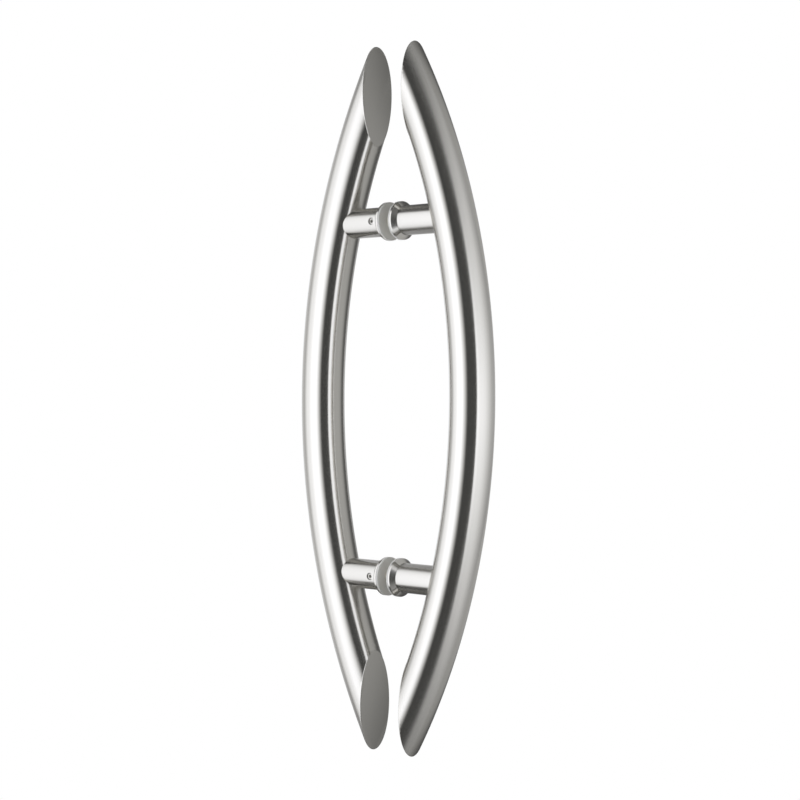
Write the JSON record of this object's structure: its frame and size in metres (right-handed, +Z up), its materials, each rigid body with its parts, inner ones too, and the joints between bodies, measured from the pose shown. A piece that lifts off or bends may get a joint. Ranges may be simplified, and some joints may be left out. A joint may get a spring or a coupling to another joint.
{
  "type": "glass door pull handle",
  "caption": "Back-to-back pair of bow-shaped round-tube pull handles, clamped through a glass door on posts with flared rings and gaskets.",
  "frame": {"origin": "middle of the glass's thickness, halfway between the two fixings", "axes": "+X square to the glass, towards the right handle; +Y along the door, away from the grub screws; +Z up"},
  "size_m": [0.206, 0.038, 0.61],
  "materials": {
    "bow_steel": "satin, brushed round the tube",
    "post_steel": "satin, turned",
    "ring_steel": "satin, turned",
    "gasket_plastic": "matt grey",
    "bush_plastic": "matt grey",
    "spigot_steel": "turned",
    "screw_steel": "bright"
  },
  "bodies": {
    "root": {"left_bow_tube": "bow_steel", "left_top_end_plate": "bow_steel", "left_top_post": "post_steel", "left_bottom_end_plate": "bow_steel", "left_bottom_post": "post_steel", "right_bow_tube": "bow_steel", "right_top_end_plate": "bow_steel", "right_top_post": "post_steel", "right_bottom_end_plate": "bow_steel", "right_bottom_post": "post_steel", "top_left_ring": "ring_steel", "top_left_gasket": "gasket_plastic", "top_right_ring": "ring_steel", "top_right_gasket": "gasket_plastic", "top_glass_bush": "bush_plastic", "top_spigot": "spigot_steel", "top_through_screw": "screw_steel", "top_grub_screw": "screw_steel", "bottom_left_ring": "ring_steel", "bottom_left_gasket": "gasket_plastic", "bottom_right_ring": "ring_steel", "bottom_right_gasket": "gasket_plastic", "bottom_glass_bush": "bush_plastic", "bottom_spigot": "spigot_steel", "bottom_through_screw": "screw_steel", "bottom_grub_screw": "screw_steel"}
  },
  "joints": []
}
